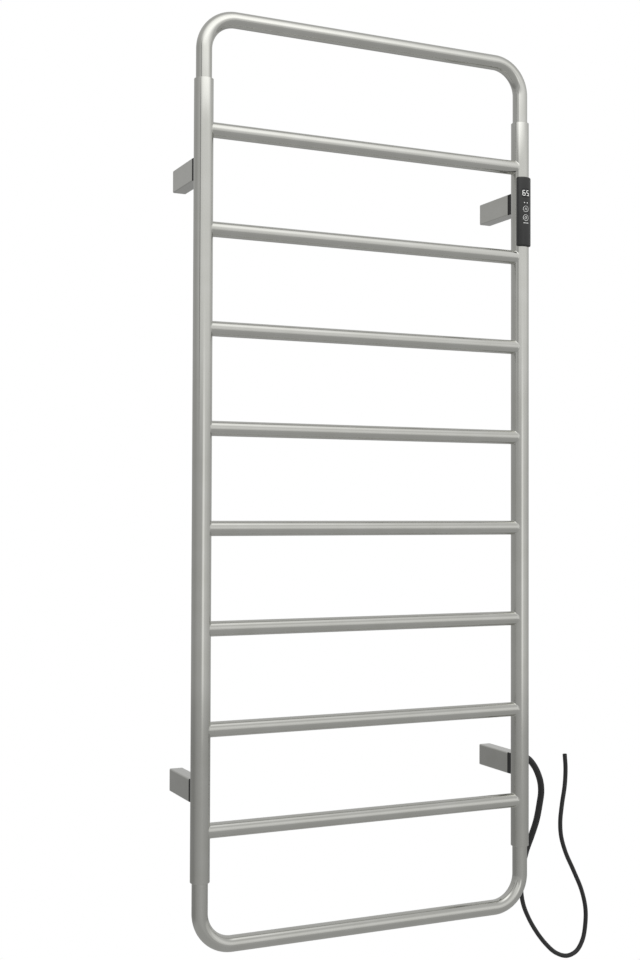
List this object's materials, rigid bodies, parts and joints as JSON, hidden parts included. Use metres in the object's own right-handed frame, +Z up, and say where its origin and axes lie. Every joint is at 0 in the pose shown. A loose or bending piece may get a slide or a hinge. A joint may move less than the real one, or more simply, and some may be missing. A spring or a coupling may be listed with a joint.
{
  "type": "heated towel rail",
  "caption": "Wall-hung electric towel rail: round crossbars between two tube posts closed by bent hoops, held on stand-off brackets, with a slim control module and a bare-ended supply cord.",
  "frame": {"origin": "on the wall plane, at the middle of the four wall brackets", "axes": "+X to the right seen from the front, +Y into the wall, +Z up; the front faces -Y"},
  "size_m": [0.6662, 0.1081, 1.3097],
  "materials": {
    "polished_steel": "polished stainless steel tube",
    "brushed_steel": "brushed stainless steel",
    "zinc_steel": "zinc-plated steel",
    "black_nylon": "moulded black nylon",
    "black_abs": "fine-textured black ABS",
    "component_black": "moulded component body",
    "smoked_window": "smoked acrylic",
    "lit_digits": "white display segments, lit",
    "circuit_board": "green solder mask on glass-fibre board",
    "black_rubber": "moulded black rubber",
    "heating_silicone": "red silicone jacket",
    "cord_pvc": "extruded black PVC"
  },
  "bodies": {
    "rail": {"left_post": "polished_steel", "right_post": "polished_steel", "top_hoop": "polished_steel", "bottom_hoop": "polished_steel", "crossbar_1": "polished_steel", "crossbar_2": "polished_steel", "crossbar_3": "polished_steel", "crossbar_4": "polished_steel", "crossbar_5": "polished_steel", "crossbar_6": "polished_steel", "crossbar_7": "polished_steel", "crossbar_8": "polished_steel", "upper_left_bracket_sleeve": "polished_steel", "upper_right_bracket_sleeve": "polished_steel", "lower_left_bracket_sleeve": "polished_steel", "lower_right_bracket_sleeve": "polished_steel", "upper_left_ferrule": "brushed_steel", "upper_right_ferrule": "brushed_steel", "lower_left_ferrule": "brushed_steel", "lower_right_ferrule": "brushed_steel", "upper_left_bracket_wall_core": "zinc_steel", "upper_left_bracket_post_bolt": "zinc_steel", "upper_left_bracket_grub_screw": "zinc_steel", "upper_right_bracket_wall_core": "zinc_steel", "upper_right_bracket_post_bolt": "zinc_steel", "upper_right_bracket_grub_screw": "zinc_steel", "lower_left_bracket_wall_core": "zinc_steel", "lower_left_bracket_post_bolt": "zinc_steel", "lower_left_bracket_grub_screw": "zinc_steel", "lower_right_bracket_wall_core": "zinc_steel", "lower_right_bracket_post_bolt": "zinc_steel", "lower_right_bracket_grub_screw": "zinc_steel", "upper_left_bracket_pad": "black_nylon", "upper_right_bracket_pad": "black_nylon", "lower_left_bracket_pad": "black_nylon", "lower_right_bracket_pad": "black_nylon", "cord_gland": "black_nylon", "cord_gland_nut": "black_nylon", "control_tray": "black_nylon", "control_housing": "black_abs", "supply_terminal": "component_black", "heater_relay": "component_black", "power_switch": "component_black", "timer_switch": "component_black", "display_block": "component_black", "temperature_sensor": "component_black", "display_window": "smoked_window", "display_digits": "lit_digits", "indicator_light_pipe": "lit_digits", "control_board": "circuit_board", "control_gasket": "black_rubber", "lead_bush": "black_rubber", "heating_cable_end_seal": "black_rubber", "cord_strain_relief": "black_rubber", "heating_cable": "heating_silicone", "power_cord": "cord_pvc", "cord_cover": "cord_pvc", "internal_supply_lead": "cord_pvc"},
    "power_key": {"power_key": "black_abs"},
    "timer_key": {"timer_key": "black_abs"}
  },
  "joints": [
    {"name": "power_key_press", "type": "slide", "parent": "rail", "child": "power_key", "axis": [0, 1, 0], "range_m": [0, 0.0005], "stiffness_N_per_m": 1500},
    {"name": "timer_key_press", "type": "slide", "parent": "rail", "child": "timer_key", "axis": [0, 1, 0], "range_m": [0, 0.0005], "stiffness_N_per_m": 1500}
  ]
}
